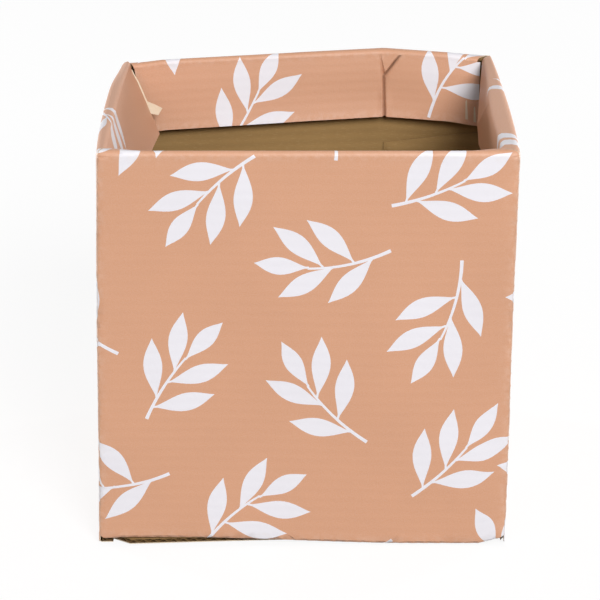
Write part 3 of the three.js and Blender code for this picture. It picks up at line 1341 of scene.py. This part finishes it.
outline = tornPaper["outline"]
lowU, highU, lowV, highV = extent(outline)
us = spread(lowU, highU, tornPaper["step"])
vs = spread(lowV, highV, tornPaper["rowStep"])
cut = cutSheet(outline, us, vs, step=tornPaper["step"])
finishes = [paperCore] * len(finishIndex)
torn = makeSheet("left_flap_torn_paper", cut, tornPlace, 0.0, tornPaper["thick"], finishes)
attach(torn, "left_flap")

# Base flaps. Outlines give u along the side and the distance in from the printed face.
baseLook = {
    "step": 6.0,
    "fluteSpans": 10,
    "over": 2,  # of the flutes, before they are trimmed
    "inset": boardThick + wallLook["foldInset"],
    "seam": 0.06,
    "tip": half - 3,
    "tipRun": 6,
    "lockTip": half - 5,
    "lockReach": 5.0,
    "lockStep": 0.012,
    "lockBite": 3.0,
    "sideGap": 0.1,
    "sideTaper": 3.5,
    "taperFrom": 12.0,
    "root": 4.9,
    "shoulder": (25.0, 40.0),
    "cornerInset": 8.0,
    "glueStart": 11.0,
    "glueRoot": 5.0,
    "glueEdge": 0.5,
    "glueSlant": 4.0,
}


def longFlap(start):
    side = half - boardThick - baseLook["sideGap"]
    tip = baseLook["lockTip"]

    def diagonal(w):
        return w - half + baseLook["seam"]

    return [
        (diagonal(baseLook["inset"]), start),
        (side, start),
        (side, baseLook["taperFrom"]),
        (side - baseLook["sideTaper"], half + baseLook["lockReach"]),
        (baseLook["lockReach"], half + baseLook["lockReach"] - baseLook["lockStep"]),
        (baseLook["lockStep"], half + baseLook["lockBite"] - baseLook["lockStep"]),
        (baseLook["lockStep"], half - baseLook["lockBite"]),
        (diagonal(tip), tip),
        (diagonal(baseLook["inset"]), baseLook["inset"]),
    ]


def shortFlap(start):
    side = half - baseLook["inset"]
    tip = baseLook["tip"]
    inset, reach = baseLook["shoulder"]
    return [
        (-side + baseLook["cornerInset"], start),
        (side, start),
        (side, baseLook["root"]),
        (half - baseLook["root"], baseLook["root"]),
        (half - tip, tip),
        (half - tip - baseLook["tipRun"], tip),
        (-half + inset, reach),
    ]


def glueFlap(_):  # its crease lies on the short flap, away from the wall
    edge = half - baseLook["glueEdge"]
    tip = baseLook["tip"]
    return [
        (edge, baseLook["glueStart"]),
        (edge - baseLook["glueSlant"], tip),
        (half - tip + baseLook["seam"], tip),
        (half - baseLook["glueRoot"] + baseLook["seam"], baseLook["glueRoot"]),
    ]


def addBase(panel, side, outlineFrom):
    place = basePlace(side, baseLayer[side])
    face, waves, liner = (
        [(u, -w) for u, w in outlineFrom(start)]
        for start in (foldRadius, linerInset, boardThick + board["glue"])
    )
    us = spread(-half, half, baseLook["step"])
    vs = spread(-half - baseLook["lockReach"], 0.0, baseLook["step"])
    addPrint(panel, side, cutSheet(face, us, vs, inksOn(side, face)), place)
    _, _, lowV, highV = extent(waves)
    box = (-half - baseLook["over"], half + baseLook["over"], lowV, highV)
    addFlutes(panel, "pot", place, box, baseLook["fluteSpans"], waves)
    addLiner(panel, "pot", side, cutSheet(liner, us, vs), place)


for side in sides:
    if side in longSides:
        addBase(side + "_base_flap", side, longFlap)
    else:
        addBase(side + "_base_flap", side, shortFlap)
        addBase(side + "_glue_flap", side, glueFlap)
print("base: two long flaps over two short ones and their glue flaps")

# Glue tab inside the back wall
tabLow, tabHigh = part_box("glue_tab_face")
tab = {
    "start": -tabHigh.x / mm,
    "end": -tabLow.x / mm,
    "low": tabLow.z / mm,
    "high": tabHigh.z / mm,
    "taper": 6.0,
    "pressed": 0.35,
    "pressedReach": 3.0,
    "step": 4.0,
    "edgeRows": (1, 2),
    "rowStep": 1.5,
    "fluteSpans": 8,
    "over": 1,
}
outline = [
    (tab["start"], tab["low"]),
    (tab["end"], tab["low"] + tab["taper"]),
    (tab["end"], tab["high"] - tab["taper"]),
    (tab["start"], tab["high"]),
]


def tabPlace(u, v, d):
    slant = tab["taper"] * (u - tab["start"]) / (tab["end"] - tab["start"])
    edge = min(tab["end"] - u, v - tab["low"] - slant, tab["high"] - slant - v)
    pressed = tab["pressed"] + (1 - tab["pressed"]) * smooth(0, tab["pressedReach"], edge)
    return fromSide("back", u, boardThick + board["glue"] + d * pressed, v)


us = spread(tab["start"], tab["end"], tab["step"], [tab["end"] - row for row in tab["edgeRows"]])
vs = spread(tab["low"], tab["high"], tab["rowStep"])
cut = cutSheet(outline, us, vs)
finishes = [paperBackAndShade, paperBackAndShade, kraftLiner, paperBackAndShade]
printed = makeSheet("glue_tab_print", cut, tabPlace, 0.0, board["face"], finishes)
standsFor(printed, "glue_tab_face", "pot")
box = (tab["start"] - tab["over"], tab["end"] + tab["over"], tab["low"], tab["high"])
addFlutes("glue_tab", "pot", tabPlace, box, tab["fluteSpans"], outline)
finishes = [kraftLiner] * len(finishIndex)
liner = makeSheet("glue_tab_kraft", cut, tabPlace, linerInset, boardThick, finishes)
standsFor(liner, "glue_tab_liner", "pot")
print("glue tab: inside the back wall")

# Floor, light and camera
floorLook = {
    "reach": 3.0,
    "drop": 0.0003,
    "roughness": 0.9,
    "bounce": (0.15, 0.15, 0.15, 1.0),  # colour for light that goes on to the pot
    "seen": (0.9, 0.9, 0.9, 1.0),
    "glow": 1.06,
    "glowShare": 0.82,
}
skyLook = {"light": 0.23, "seen": 1.0}


def seenRays(tree):
    rays = tree.nodes.new("ShaderNodeLightPath").outputs
    return calcNode(tree, "MAXIMUM", rays["Is Camera Ray"], rays["Is Glossy Ray"])


reach = floorLook["reach"]
corners = [(-reach, -reach, 0), (reach, -reach, 0), (reach, reach, 0), (-reach, reach, 0)]
floorMesh = bpy.data.meshes.new("floor")
floorMesh.from_pydata(corners, [], [(0, 1, 2, 3)])
floor = newObject("floor", floorMesh)
floor.location.z = -floorLook["drop"]
paleFloor = bpy.data.materials.new("paleFloor")
paleFloor.use_nodes = True
tree = paleFloor.node_tree
seen = seenRays(tree)
matte = tree.nodes["Principled BSDF"]
matte.inputs["Roughness"].default_value = floorLook["roughness"]
tree.links.new(mixNode(tree, seen, floorLook["bounce"], floorLook["seen"]), matte.inputs["Base Color"])
glow = addNode(tree, "ShaderNodeEmission", {"Strength": floorLook["glow"]})
glowing = calcNode(tree, "MULTIPLY", seen, floorLook["glowShare"])
blendFloor = addNode(tree, "ShaderNodeMixShader", {"Fac": glowing})
tree.links.new(matte.outputs[0], blendFloor.inputs[1])
tree.links.new(glow.outputs[0], blendFloor.inputs[2])
tree.links.new(blendFloor.outputs[0], tree.nodes["Material Output"].inputs["Surface"])
floorMesh.materials.append(paleFloor)
floor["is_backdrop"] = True

world = bpy.data.worlds.new("studio")
scene.world = world
world.use_nodes = True
tree = world.node_tree
level = addNode(tree, "ShaderNodeMapRange", {
    "Value": seenRays(tree),
    "To Min": skyLook["light"],
    "To Max": skyLook["seen"],
})
sky = tree.nodes["Background"]
sky.inputs["Color"].default_value = white
tree.links.new(level.outputs["Result"], sky.inputs["Strength"])

lamps = {
    "keyLamp": {"place": (0.97, -3.0, 1.75), "aim": (0.0, 0.0, 0.08), "size": 1.4, "power": 103.0},
    "fillLamp": {"place": (-0.8, -1.1, 0.75), "aim": (0.0, 0.0, 0.08), "size": 0.9, "power": 1.4},
    "leftBackLamp": {"place": (-1.2, 0.8, 0.15), "aim": (0.0, 0.0, 0.07), "size": 0.28, "power": 13.0},
    "rightBackLamp": {"place": (1.2, 0.9, 0.15), "aim": (0.0, 0.0, 0.07), "size": 0.28, "power": 12.0},
}


def softLamp(name, place, aim, size, power):
    data = bpy.data.lights.new(name, "AREA")
    data.shape = "DISK"
    data.size = size
    data.energy = power
    lamp = newObject(name, data)
    lamp.location = place
    lamp.visible_camera = False
    lamp.rotation_euler = (Vector(aim) - Vector(place)).to_track_quat("-Z", "Y").to_euler()


for name, look in lamps.items():
    softLamp(name, **look)

view = {
    "distance": 0.9417,
    "elevation": 18.13,
    "azimuth": 0.0,
    "target": (-0.00063, 0.0, 0.0657),
    "lens": 156.0,
    "sensor": 36.0,
}
tilt = math.radians(view["elevation"])
turn = math.radians(view["azimuth"])
back = Vector((math.sin(turn) * math.cos(tilt), -math.cos(turn) * math.cos(tilt), math.sin(tilt)))
cameraData = bpy.data.cameras.new("camera")
cameraData.sensor_width = view["sensor"]
cameraData.lens = view["lens"]
camera = newObject("camera", cameraData)
camera.location = Vector(view["target"]) + back * view["distance"]
camera.rotation_euler = (-back).to_track_quat("-Z", "Y").to_euler()
scene.camera = camera
print("stage: floor, four soft lamps, camera")

low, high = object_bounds()
